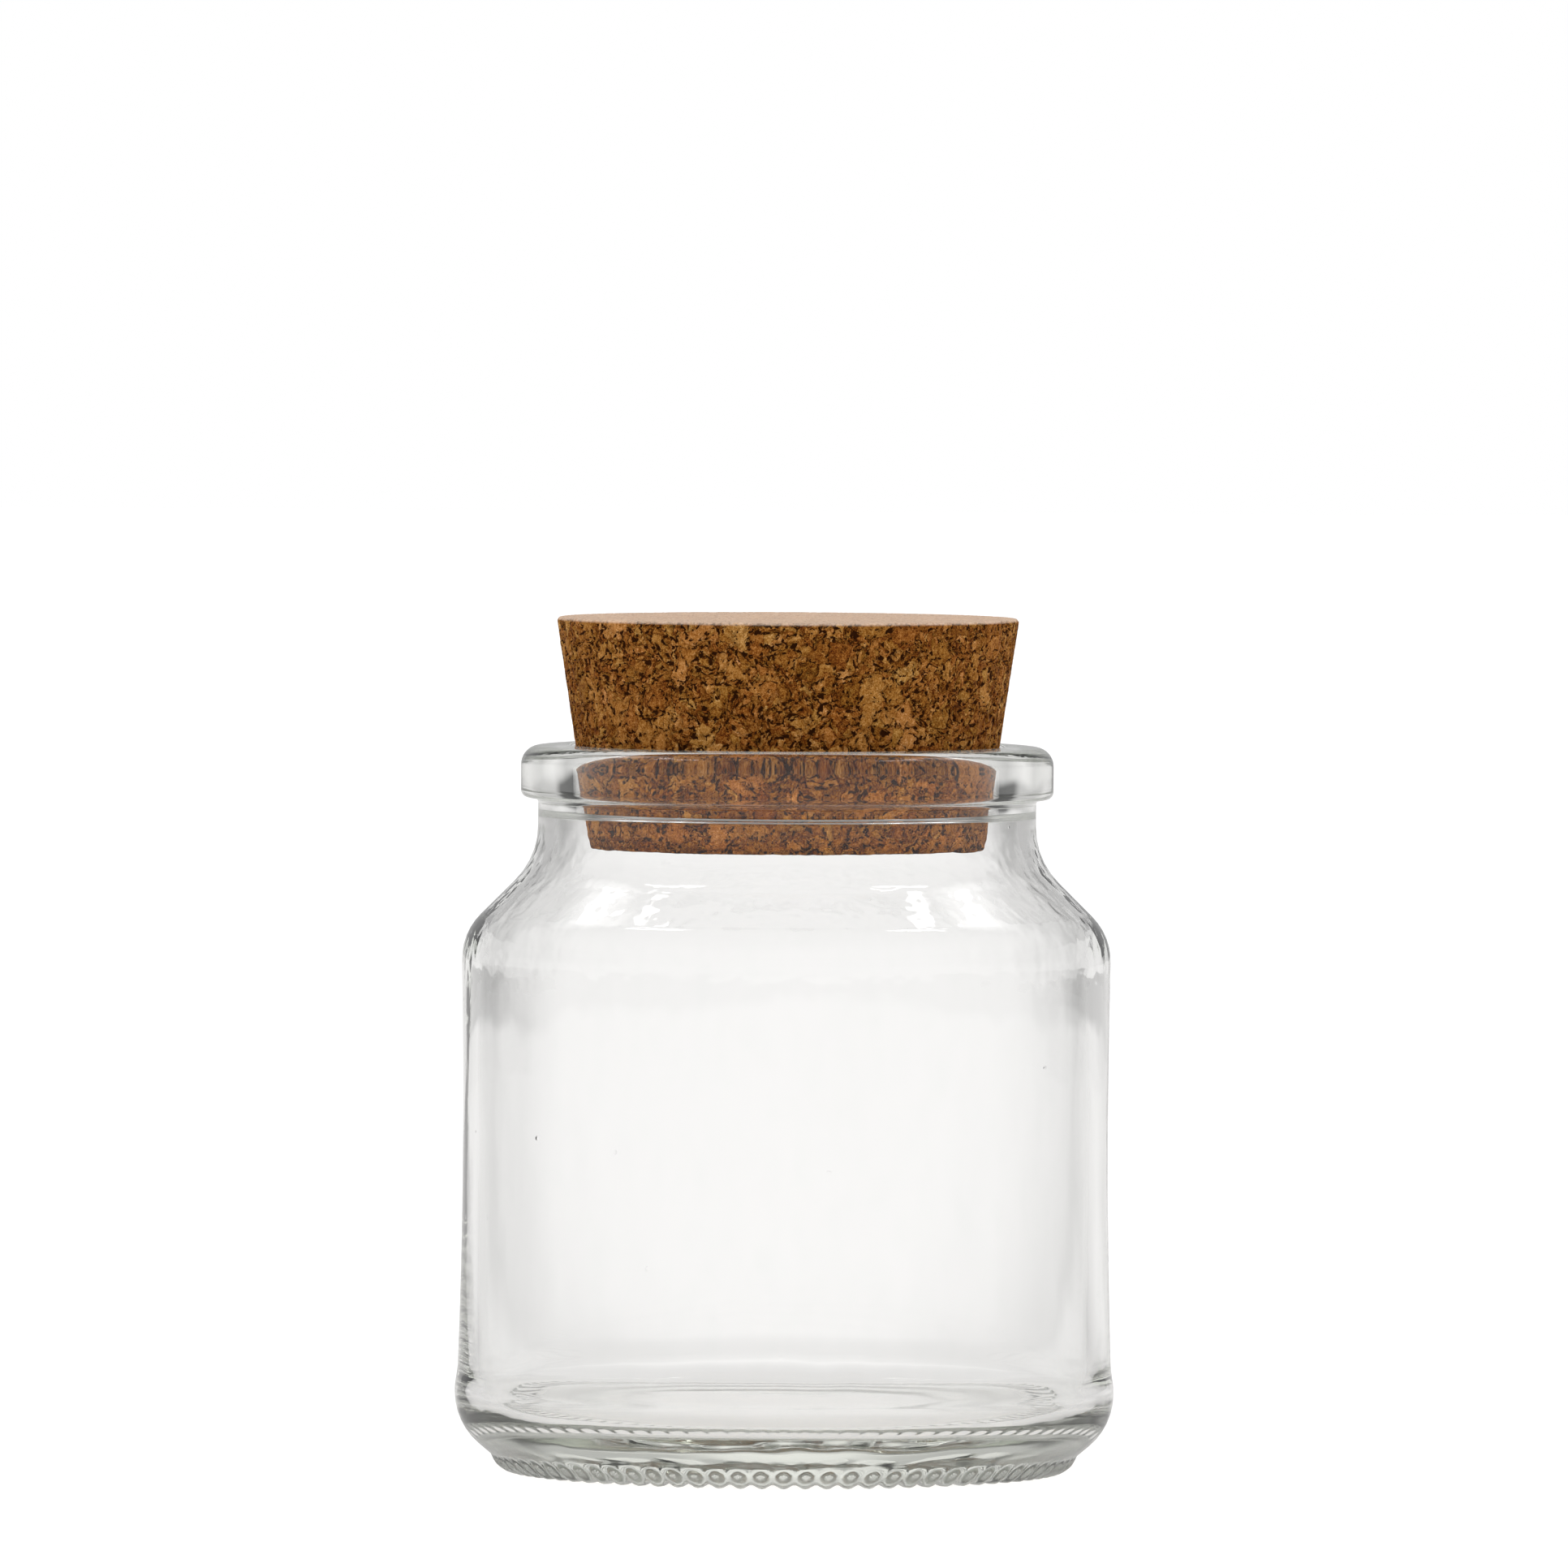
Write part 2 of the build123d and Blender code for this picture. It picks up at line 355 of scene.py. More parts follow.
def outline_normals(points):
    """The direction square to the outline at each point, out of the glass."""
    last = len(points) - 1
    normals = []
    for index in range(last + 1):
        along = points[min(index + 1, last)] - points[max(index - 1, 0)]
        normals.append(Vector((along.y, -along.x)).normalized())
    return normals


def nearest_distance(point, route):
    """Distance of a point from a route of straight runs in the plane y = 0."""
    best = math.inf
    for start, end in zip(route, route[1:]):
        first = Vector((start.x, 0, start.y))
        run = Vector((end.x, 0, end.y)) - first
        share = max(0.0, min(1.0, (point - first).dot(run) / run.length_squared))
        best = min(best, (point - first - run * share).length)
    return best


def knurl_route(jar, body_radius):
    """The middle line of a knurl, from the heel down to the bearing ring and inwards."""
    bearing = body_radius - jar.heel_width
    across = jar.knurl_height - jar.knurl_radius
    height = jar.knurl_radius - jar.knurl_flat_depth
    run = (height - jar.knurl_height + across * math.sin(jar.heel_slope)) / math.cos(jar.heel_slope)
    bend = bearing + across * math.cos(jar.heel_slope) + run * math.sin(jar.heel_slope)
    heel = Vector((math.sin(jar.heel_slope), math.cos(jar.heel_slope))) * jar.knurl_heel_length
    corners = [
        (bend + heel.x, height + heel.y, 0),
        (bend, height, jar.knurl_bend),
        (bend - jar.knurl_bearing_length, height, 0),
    ]
    return rounded_outline(corners, ROUND_TURN)


def knurl_lift(point, normal, turn, route, jar):
    """How far a knurl lifts the glass at an outline point that lies a turn from its middle."""
    if nearest_distance(Vector((point.x, 0, point.y)), route) > 2 * jar.knurl_radius:
        return 0.0
    low, high = 0.0, 2 * jar.knurl_radius
    for _ in range(14):
        middle = (low + high) / 2
        lifted = point + normal * middle
        at = Vector((lifted.x * math.cos(turn), lifted.x * math.sin(turn), lifted.y))
        inside = nearest_distance(at, route) <= jar.knurl_radius
        low, high = (middle, high) if inside else (low, middle)
    if point.y + normal.y * low < 0:
        low = point.y / -normal.y
    return low


def near_beat(beat):
    """How many steps a place on the mesh lies from the middle of the nearest knurl."""
    beat %= STEPS_PER_KNURL
    return min(beat, STEPS_PER_KNURL - beat)


def finish_mesh(name, bm, material, body, node):
    """Makes a smooth piece of a bmesh, gives it its material in a slot and its body, and hides the
    imported node.
    """
    mesh = bpy.data.meshes.new(name)
    bm.to_mesh(mesh)
    bm.free()
    mesh.shade_smooth()
    mesh.materials.append(material)
    piece = bpy.data.objects.new(name, mesh)
    bpy.context.scene.collection.objects.link(piece)
    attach(piece, body)
    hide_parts(node)
    return piece


def wave_at(place, width, upright):
    """A smooth random number from -1 to 1 at a place, for waves of a width."""
    return noise.noise(Vector((place.x, place.y, place.z * upright)) / width)


def turned(points, steps):
    """A bmesh of an outline turned once about the Z axis, with each vertex's row in a layer.

    One wedge is spun, and then doubled until it closes, because a spin of many steps is slow.
    """
    bm = bmesh.new()
    row = bm.verts.layers.int.new("row")
    verts = [bm.verts.new((point.x, 0, point.y)) for point in points]
    for index, vert in enumerate(verts):
        vert[row] = index
    edges = [bm.edges.new(pair) for pair in zip(verts, verts[1:])]
    wedge = 2 * math.pi / 2**WEDGE_DOUBLINGS
    bmesh.ops.spin(
        bm,
        geom=verts + edges,
        cent=(0, 0, 0),
        axis=(0, 0, 1),
        dvec=(0, 0, 0),
        angle=wedge,
        steps=steps // 2**WEDGE_DOUBLINGS,
        use_merge=False,
        use_duplicate=False,
    )
    for doubling in range(WEDGE_DOUBLINGS):
        copied = bmesh.ops.duplicate(bm, geom=bm.verts[:] + bm.edges[:] + bm.faces[:])["geom"]
        bmesh.ops.rotate(
            bm,
            verts=[part for part in copied if isinstance(part, bmesh.types.BMVert)],
            cent=(0, 0, 0),
            matrix=Matrix.Rotation(wedge * 2**doubling, 3, "Z"),
        )
    bmesh.ops.remove_doubles(bm, verts=bm.verts, dist=MM / 1000)
    bmesh.ops.recalc_face_normals(bm, faces=bm.faces)
    return bm, row


def new_material(name):
    """A material, its tree, its shader and its output, with nothing else in the tree."""
    material = bpy.data.materials.new(name)
    material.use_nodes = True
    tree = material.node_tree
    found = {node.type: node for node in tree.nodes}
    return material, tree, found["BSDF_PRINCIPLED"], found["OUTPUT_MATERIAL"]


def add_node(tree, kind, inputs=(), **settings):
    """Adds a node, sets its properties, and links or sets its inputs."""
    node = tree.nodes.new(kind)
    for key, value in settings.items():
        setattr(node, key, value)
    for key, value in dict(inputs).items():
        if isinstance(value, bpy.types.NodeSocket):
            tree.links.new(value, node.inputs[key])
        else:
            node.inputs[key].default_value = value
    return node


def maths(tree, operation, *values):
    """The result of a math node on sockets or numbers."""
    node = add_node(tree, "ShaderNodeMath", enumerate(values), operation=operation)
    return node.outputs[0]


def vector_maths(tree, operation, *values):
    """The result of a vector math node on sockets or vectors."""
    node = add_node(tree, "ShaderNodeVectorMath", enumerate(values), operation=operation)
    return node.outputs[0]


def scaled(tree, vector, factor):
    """A vector times a number."""
    inputs = {0: vector, "Scale": factor}
    return add_node(tree, "ShaderNodeVectorMath", inputs, operation="SCALE").outputs[0]


def xyz(tree, vector):
    """The sockets of a vector's three parts."""
    return add_node(tree, "ShaderNodeSeparateXYZ", {0: vector}).outputs


def object_place(tree):
    """The place on the object, in metres."""
    return add_node(tree, "ShaderNodeTexCoord").outputs["Object"]


def colour_ramp(tree, value, wanted):
    """The colour at a value, from a row of (position, colour)."""
    ramp = add_node(tree, "ShaderNodeValToRGB", {0: value})
    stops = ramp.color_ramp
    while len(stops.elements) < len(wanted):
        stops.elements.new(0.5)
    for element, (position, shown) in zip(stops.elements, wanted):
        element.position = position
        element.color = shown
    return ramp.outputs[0]


def ramp_between(tree, value, low, high, bottom=0.0, top=1.0):
    """A value mapped from low..high to bottom..top, clamped and eased."""
    node = add_node(
        tree,
        "ShaderNodeMapRange",
        {0: value, 1: low, 2: high, 3: bottom, 4: top},
        interpolation_type="SMOOTHSTEP",
    )
    return node.outputs[0]


def blended(tree, share, first, second):
    """Two numbers mixed by a share."""
    return add_node(tree, "ShaderNodeMix", {0: share, 2: first, 3: second}).outputs[0]


def mixed(tree, share, first, second):
    """Two colours mixed by a share."""
    node = tree.nodes.new("ShaderNodeMix")
    node.data_type = "RGBA"
    for index, value in ((0, share), (6, first), (7, second)):
        socket = node.inputs[index]
        if isinstance(value, bpy.types.NodeSocket):
            tree.links.new(value, socket)
        else:
            socket.default_value = value
    return node.outputs[2]


def rgba(values):
    """A colour property as four numbers."""
    return (*values, 1.0)


def group_node(tree, group, **values):
    """Places a node group and sets its inputs, whose names are written with underscores."""
    node = tree.nodes.new("ShaderNodeGroup")
    node.node_tree = group
    for key, value in values.items():
        node.inputs[key.replace("_", " ")].default_value = value
    return node


def new_group(name, inputs, outputs):
    """A shader node group with named float inputs and named outputs of a given kind."""
    group = bpy.data.node_groups.new(name, "ShaderNodeTree")
    for label, default in inputs.items():
        socket = group.interface.new_socket(
            name=label, in_out="INPUT", socket_type="NodeSocketFloat"
        )
        socket.default_value = default
    for label, kind in outputs.items():
        group.interface.new_socket(name=label, in_out="OUTPUT", socket_type=kind)
    return group, group.nodes.new("NodeGroupInput"), group.nodes.new("NodeGroupOutput")


def waves_group():
    """Slow surface waves and a faint haze, in millimetres on object coordinates."""
    group, given, out = new_group(
        "slow_waves",
        {"Scale": 0.1, "Stretch": 1.0},
        {"Height": "NodeSocketFloat", "Haze": "NodeSocketFloat"},
    )
    place = object_place(group)
    parts = xyz(group, place)
    lift = maths(group, "MULTIPLY", parts[2], given.outputs["Stretch"])
    drawn = add_node(
        group, "ShaderNodeCombineXYZ", {0: parts[0], 1: parts[1], 2: lift}
    ).outputs[0]
    place = in_millimetres(group, drawn)
    waves = add_node(
        group,
        "ShaderNodeTexNoise",
        {"Vector": place, "Scale": given.outputs["Scale"], "Detail": 1.5, "Roughness": 0.4},
    )
    haze = add_node(group, "ShaderNodeTexNoise", {"Vector": place, "Scale": 0.35, "Detail": 4.0})
    group.links.new(waves.outputs[0], out.inputs["Height"])
    group.links.new(ramp_between(group, haze.outputs[0], 0.45, 0.75), out.inputs["Haze"])
    return group


def glass_material(jar):
    """Clear moulded glass: greenish where it is thick, faintly rippled and a little hazy."""
    material, tree, shader, output = new_material("clear_glass")
    waves = group_node(tree, waves_group(), Scale=0.12, Stretch=0.45)
    haze = waves.outputs["Haze"]
    tint = mixed(tree, haze, (1.0, 1.0, 1.0, 1.0), (0.985, 0.99, 0.987, 1.0))
    tree.links.new(tint, shader.inputs["Base Color"])
    place = object_place(tree)
    height = xyz(tree, place)[2]
    worn = ramp_between(tree, height, jar.worn_height / 2, jar.worn_height, jar.worn_rough, 0.0)
    rough = maths(tree, "MULTIPLY_ADD", haze, 0.006, worn)
    tree.links.new(rough, shader.inputs["Roughness"])
    shader.inputs["Transmission Weight"].default_value = 1.0
    shader.inputs["IOR"].default_value = jar.index
    fade = 3 * MM
    above = ramp_between(tree, height, jar.hammered_from - fade, jar.hammered_from + fade)
    below = ramp_between(tree, height, jar.hammered_to - fade, jar.hammered_to + fade, 1.0, 0.0)
    hammered = noise_at(tree, in_millimetres(tree, place), 0.42, 1.0, 0.4)[0]
    hammered = maths(tree, "MULTIPLY", hammered, maths(tree, "MULTIPLY", above, below))
    lumps = maths(tree, "MULTIPLY_ADD", hammered, 0.6, waves.outputs["Height"])
    spacing = jar.seed_spacing / MM
    seeds = add_node(
        tree, "ShaderNodeTexVoronoi", {"Vector": in_millimetres(tree, place), "Scale": 1 / spacing}
    )
    size = jar.seed_size / MM / spacing
    seed = ramp_between(tree, seeds.outputs["Distance"], size / 3, size, 1.0, 0.0)
    chance = xyz(tree, seeds.outputs["Color"])[0]
    seed = maths(tree, "MULTIPLY", seed, maths(tree, "GREATER_THAN", chance, jar.seed_rarity))
    lumps = maths(tree, "MULTIPLY_ADD", seed, jar.seed_depth, lumps)
    ripple = add_node(
        tree, "ShaderNodeBump", {"Strength": 0.15, "Distance": 0.5 * MM, "Height": lumps}
    )
    tree.links.new(ripple.outputs[0], shader.inputs["Normal"])
    volume = add_node(
        tree, "ShaderNodeVolumeAbsorption", {"Color": rgba(jar.tint), "Density": jar.tint_density}
    )
    tree.links.new(volume.outputs[0], output.inputs["Volume"])
    return material


def in_millimetres(tree, place):
    """A place in metres as millimetres."""
    return scaled(tree, place, 1 / MM)


def noise_at(tree, place, scale, detail, roughness=0.5):
    """A noise texture's outputs at a place."""
    settings = {"Vector": place, "Scale": scale, "Detail": detail, "Roughness": roughness}
    return add_node(tree, "ShaderNodeTexNoise", settings).outputs


# How the cork's space is stirred before it is divided, as the scale and the depth in millimetres of
# each noise, and the share of its large and middling granules that stay whole
STIRS = ((0.35, 2.0), (1.1, 0.55), (2.8, 0.12), (7.0, 0.03))
WHOLE_SHARES = (0.30, 0.55)

# Width in millimetres of the widest open gap, and reach from a seam at which bits of bark lie
WIDEST_GAP = 0.30
BARK_REACH = (0.12, 0.34)


def granule_field(tree, place, cork):
    """Divides space into granules of three sizes, for the cork's relief and its colours alike.

    place is in millimetres. Returns the sockets tone and shade, two random numbers of each granule,
    seam, the distance to its edge in millimetres, and gap, the open gaps and the bits of bark, which
    the colour paints near-black: painted shade in the open gaps, real dark bark in the bits.
    """
    for scale, depth in STIRS:
        push = vector_maths(tree, "SUBTRACT", noise_at(tree, place, scale, 0.0)[1], (0.5, 0.5, 0.5))
        place = vector_maths(tree, "ADD", place, scaled(tree, push, depth))
    found = []
    for width in (cork.granule, cork.crumb, cork.grit):
        scale = MM / width
        cells = add_node(tree, "ShaderNodeTexVoronoi", {"Vector": place, "Scale": scale})
        edges = add_node(
            tree,
            "ShaderNodeTexVoronoi",
            {"Vector": place, "Scale": scale},
            feature="DISTANCE_TO_EDGE",
        )
        parts = xyz(tree, cells.outputs["Color"])
        distance = maths(tree, "DIVIDE", edges.outputs["Distance"], scale)
        found.append((parts[0], parts[1], parts[2], distance))
    tone, shade, chance, seam = found[0]
    for share, finer in zip(WHOLE_SHARES, found[1:]):
        broken = maths(tree, "GREATER_THAN", chance, share)
        tone = blended(tree, broken, tone, finer[0])
        shade = blended(tree, broken, shade, finer[1])
        chance = blended(tree, broken, 0.0, finer[2])
        seam = blended(tree, broken, seam, maths(tree, "MINIMUM", seam, finer[3]))
    # Open gaps: pressed into the relief, and painted near-black in the colour as shade
    open_places = noise_at(tree, place, 1.7, 1.5, 0.6)[0]
    width = ramp_between(tree, open_places, 0.50, 0.66, 0.0, WIDEST_GAP)
    gap = ramp_between(tree, maths(tree, "SUBTRACT", width, seam), -0.03, 0.09)
    bit_tone, bit_edge = found[2][0], found[2][3]
    rarity = ramp_between(tree, open_places, 0.40, 0.60, 1.0, 0.58)
    bits = maths(tree, "GREATER_THAN", bit_tone, rarity)
    bits = maths(tree, "MULTIPLY", bits, ramp_between(tree, bit_edge, 0.0, 0.06))
    near_seam = ramp_between(tree, found[1][3], *BARK_REACH, 1.0, 0.0)
    gap = maths(tree, "MAXIMUM", gap, maths(tree, "MULTIPLY", bits, near_seam))
    return {"tone": tone, "shade": shade, "seam": seam, "gap": gap}


def cork_group(cork):
    """Shader node group of the granules: their colour, their gaps and their height."""
    group, given, out = new_group(
        "cork_granules",
        {"Sanded": 0.0},
        {"Color": "NodeSocketColor", "Gap": "NodeSocketFloat", "Height": "NodeSocketFloat"},
    )
    place = in_millimetres(group, object_place(group))
    field = granule_field(group, place, cork)
    coarse = noise_at(group, place, 1.7, 5.0, 0.8)[0]
    fine = noise_at(group, place, 6.0, 2.0, 0.7)[0]
    light = maths(group, "MULTIPLY_ADD", field["shade"], 0.32, 0.40)
    light = maths(group, "MULTIPLY_ADD", maths(group, "SUBTRACT", coarse, 0.5), 1.2, light)
    light = maths(group, "MULTIPLY_ADD", maths(group, "SUBTRACT", fine, 0.5), 1.1, light)
    dark_seam = ramp_between(group, field["seam"], 0.0, 0.12, 0.13, 0.0)
    light = maths(group, "SUBTRACT", light, dark_seam)
    palette = (
        (0.05, cork.bark),
        (0.25, cork.umber),
        (0.40, cork.brown),
        (0.50, cork.tan),
        (0.75, cork.light),
        (1.0, cork.pale),
    )
    grain = colour_ramp(group, light, [(position, rgba(value)) for position, value in palette])
    turn = mixed(group, field["tone"], rgba(cork.ruddy), rgba(cork.golden))
    turned_colour = vector_maths(group, "MULTIPLY", grain, turn)
    # Painted shade: the open gaps take the near-black bark colour in place of their shadow; the bits
    # of bark are really dark
    bark = mixed(group, field["gap"], turned_colour, rgba(cork.bark))
    dusted = mixed(group, given.outputs["Sanded"], bark, rgba(cork.sanded))
    group.links.new(dusted, out.inputs["Color"])
    group.links.new(field["gap"], out.inputs["Gap"])
    height = maths(group, "ADD", ramp_between(group, field["seam"], 0.0, 0.25), coarse)
    height = maths(group, "SUBTRACT", height, field["gap"])
    group.links.new(height, out.inputs["Height"])
    return group


def cork_material(cork):
    """Bonded cork: tan, ochre and reddish granules with dark bits of bark and painted shade in the
    open gaps, paler on the sanded top.
    """
    material, tree, shader, _ = new_material("bonded_cork")
    granules = group_node(tree, cork_group(cork))
    place = object_place(tree)
    height = xyz(tree, place)[2]
    top = ramp_between(tree, height, cork_high.z - 0.45 * MM, cork_high.z - 0.1 * MM, 0.0, 1.0)
    dust = noise_at(tree, in_millimetres(tree, place), 2.2, 3.0, 0.7)[0]
    top = maths(tree, "MULTIPLY", top, ramp_between(tree, dust, 0.32, 0.58, 0.44, 0.82))
    tree.links.new(top, granules.inputs["Sanded"])
    tree.links.new(granules.outputs["Color"], shader.inputs["Base Color"])
    rough = maths(tree, "MULTIPLY_ADD", granules.outputs["Gap"], 0.15, 0.78)
    tree.links.new(rough, shader.inputs["Roughness"])
    shader.inputs["Specular IOR Level"].default_value = 0.05
    relief = add_node(
        tree,
        "ShaderNodeBump",
        {"Strength": 0.7, "Distance": 0.12 * MM, "Height": granules.outputs["Height"]},
    )
    tree.links.new(relief.outputs[0], shader.inputs["Normal"])
    return material


def relief_tree(cork):
    """Geometry nodes that press the gaps between granules into the cork's surface."""
    tree = bpy.data.node_groups.new("cork_relief", "GeometryNodeTree")
    tree.interface.new_socket(name="Mesh", in_out="INPUT", socket_type="NodeSocketGeometry")
    tree.interface.new_socket(name="Mesh", in_out="OUTPUT", socket_type="NodeSocketGeometry")
    given = tree.nodes.new("NodeGroupInput")
    out = tree.nodes.new("NodeGroupOutput")
    place = tree.nodes.new("GeometryNodeInputPosition").outputs[0]
    normal = tree.nodes.new("GeometryNodeInputNormal").outputs[0]
    fine_place = in_millimetres(tree, place)
    field = granule_field(tree, fine_place, cork)
    seams = ramp_between(tree, field["seam"], 0.0, 0.35, 0.14, 0.0)
    uneven = maths(tree, "MULTIPLY", field["shade"], 0.12)
    depth = maths(tree, "ADD", seams, uneven)
    depth = maths(tree, "MAXIMUM", depth, field["gap"])
    height = xyz(tree, place)[2]
    worn = ramp_between(tree, height, cork_low.z, cork_low.z + cork.worn, 1.0, 0.0)
    chips = ramp_between(tree, noise_at(tree, fine_place, 0.8, 3.0, 0.6)[0], 0.42, 0.68, 0.0, 2.4)
    depth = maths(tree, "MAXIMUM", depth, maths(tree, "MULTIPLY", worn, chips))
    level = maths(tree, "ABSOLUTE", xyz(tree, normal)[2])
    depth = maths(tree, "MULTIPLY", depth, ramp_between(tree, level, 0.6, 0.95, 1.0, 0.08))
    push = scaled(tree, normal, maths(tree, "MULTIPLY", depth, -cork.relief))
    shift = add_node(tree, "GeometryNodeSetPosition", {"Offset": push})
    tree.links.new(given.outputs[0], shift.inputs["Geometry"])
    tree.links.new(shift.outputs[0], out.inputs[0])
    return tree


class CORKJAR_OT_glass_jar(bpy.types.Operator):
    """Model the glass jar with its knurled foot and its rippled wall."""

    bl_idname = "corkjar.glass_jar"
    bl_label = "Glass jar"

    def execute(self, context):
        jar = context.scene.jar_sizes
        body_radius = jar_high.x
        route = knurl_route(jar, body_radius)
        foot_radius = body_radius - jar.heel_width - jar.bearing_width
        knurl_top = jar.knurl_heel_length + 2 * jar.knurl_radius

        def span(place):
            knurled = place.x > foot_radius and place.y < knurl_top
            return KNURL_ROW if knurled else WALL_ROW

        points = spaced(jar_outline(jar, body_radius), span)
        normals = outline_normals(points)
        lip_row = max(range(len(points)), key=lambda index: points[index].y)
        steps = jar.knurl_count * STEPS_PER_KNURL
        bm, row = turned(points, steps)
        lifts = {}
        still = jar.lip_height - 2 * jar.bead_height
        calm = jar.lip_height - 4 * jar.bead_height
        for vert in bm.verts:
            index = vert[row]
            point, normal = points[index], normals[index]
            if point.x < MM / 10:
                continue
            turn = math.atan2(vert.co.y, vert.co.x)
            shift = 0.0
            if index < lip_row and point.y < jar.foot_ring_height:
                beat = round(turn / (2 * math.pi) * steps) % STEPS_PER_KNURL
                if (index, beat) not in lifts:
                    offs = [2 * math.pi * near_beat(beat + step) / steps for step in (-1, 0, 1)]
                    before, here, after = (
                        knurl_lift(point, normal, off, route, jar) for off in offs
                    )
                    lifts[index, beat] = (before + 2 * here + after) / 4
                shift = lifts[index, beat]
            depth = jar.ripple if index > lip_row else jar.skin_ripple
            ease = max(0.0, min(1.0, (still - point.y) / (still - calm)))
            if index > lip_row or point.y > jar.foot_ring_height:
                waves = wave_at(vert.co, *SLOW_WAVE) + FAST_SHARE * wave_at(vert.co, *FAST_WAVE)
                shift += depth * ease * waves
            out = vert.co.copy()
            out.z = 0
            out.normalize()
            vert.co += out * normal.x * shift
            vert.co.z += normal.y * shift
        piece = finish_mesh("jar_glass", bm, glass_material(jar), "jar", "glass_jar")
        even = piece.modifiers.new("even_normals", "WEIGHTED_NORMAL")
        even.mode = "FACE_AREA"
        even.weight = 50
        return {"FINISHED"}


class CORKJAR_OT_cork_stopper(bpy.types.Operator):
    """Model the tapered stopper of bonded cork granules."""

    bl_idname = "corkjar.cork_stopper"
    bl_label = "Cork stopper"

    def execute(self, context):
        cork = context.scene.cork_sizes
        base, top = cork_low.z, cork_high.z
        corners = [
            (0.0, base, 0),
            (cork.base_radius, base, cork.base_round),
            (cork.top_radius, top, cork.top_round),
            (0.0, top, 0),
        ]

        def span(place):
            return cork.row if base < place.y < top else cork.ring

        points = spaced(rounded_outline(corners, CORK_EDGE_TURN), span)
        bm, _ = turned(points, CORK_STEPS)
        piece = finish_mesh(
            "stopper_cork", bm, cork_material(cork), "stopper", "cork_stopper"
        )
        relief = piece.modifiers.new("relief", "NODES")
        relief.node_group = relief_tree(cork)
        return {"FINISHED"}


def add_lamp(name, side, studio):
    """The light of a softbox above one side of the jar; the world shows the softbox itself."""
    light = bpy.data.lights.new(name, "AREA")
    light.shape = "ELLIPSE"
    light.size = studio.lamp_width
    light.size_y = studio.lamp_length
    light.energy = studio.lamp_power
    lamp = bpy.data.objects.new(name, light)
    flat = math.cos(studio.lamp_rise) * studio.lamp_reach
    across = math.cos(studio.lamp_turn) * flat
    lamp.location = (
        side * across,
        math.sin(studio.lamp_turn) * flat,
        math.sin(studio.lamp_rise) * studio.lamp_reach,
    )
    towards = Vector((0, 0, jar_high.z / 2)) - lamp.location
    lamp.rotation_euler = towards.to_track_quat("-Z", "Y").to_euler()
    lamp.visible_glossy = False
    lamp.visible_transmission = False
    bpy.context.scene.collection.objects.link(lamp)
    return lamp


# Level of what stands round the jar at an angle from straight behind it, in degrees: the white
# table, and the backdrop and the room beyond the table
# On the floor the dips in the table's levels are painted shade of the panels round the jar, which
# glass shows
TABLE_WITH_PAINTED_SHADE = (
    (0, 1.0),
    (4, 0.99),
    (8, 0.94),
    (14, 0.82),
    (20, 0.72),
    (26, 0.88),
    (34, 0.97),
    (42, 0.80),
    (50, 0.58),
    (62, 0.72),
    (90, 0.84),
    (180, 0.86),
)
BEYOND = (
    (0, 0.94),
    (7, 0.90),
    (13, 0.60),
    (22, 0.54),
    (37, 0.56),
    (43, 0.06),
    (56, 0.03),
    (62, 0.58),
    (90, 0.80),
    (180, 0.86),
)
BEHIND = (math.radians(24), math.radians(50))

# Small lamps that gloss shows: the angle from straight behind and the rise, in degrees
STAR = (66, 62)
STREAK = ((79, 57), (99, 67))


def level_round(tree, turn, levels):
    """The level at an angle from straight behind, from a row of (degrees, level)."""
    stops = [(degrees / 180, (level, level, level, 1.0)) for degrees, level in levels]
    return colour_ramp(tree, maths(tree, "DIVIDE", turn, math.pi), stops)


def studio_group(studio):
    """What stands round the jar in a direction, for the world and the floor alike."""
    group = bpy.data.node_groups.new("studio_round", "ShaderNodeTree")
    group.interface.new_socket(name="Direction", in_out="INPUT", socket_type="NodeSocketVector")
    for label in ("Table", "Beyond", "Behind"):
        group.interface.new_socket(name=label, in_out="OUTPUT", socket_type="NodeSocketFloat")
    given = group.nodes.new("NodeGroupInput")
    out = group.nodes.new("NodeGroupOutput")
    parts = xyz(group, given.outputs["Direction"])
    side = maths(group, "ABSOLUTE", parts[0])
    turn = maths(group, "ARCTAN2", side, parts[1])
    # The table's levels, with their painted shade, go only to the floor's glow
    table = maths(group, "MULTIPLY", level_round(group, turn, TABLE_WITH_PAINTED_SHADE), studio.white)
    group.links.new(table, out.inputs["Table"])
    group.links.new(level_round(group, turn, BEYOND), out.inputs["Beyond"])
    group.links.new(ramp_between(group, turn, *BEHIND, 1.0, 0.0), out.inputs["Behind"])
    return group


def direction(turn, rise):
    """The direction at an angle from straight behind and at a rise, in degrees."""
    turn, rise = math.radians(turn), math.radians(rise)
    flat = math.cos(rise)
    return Vector((math.sin(turn) * flat, math.cos(turn) * flat, math.sin(rise)))


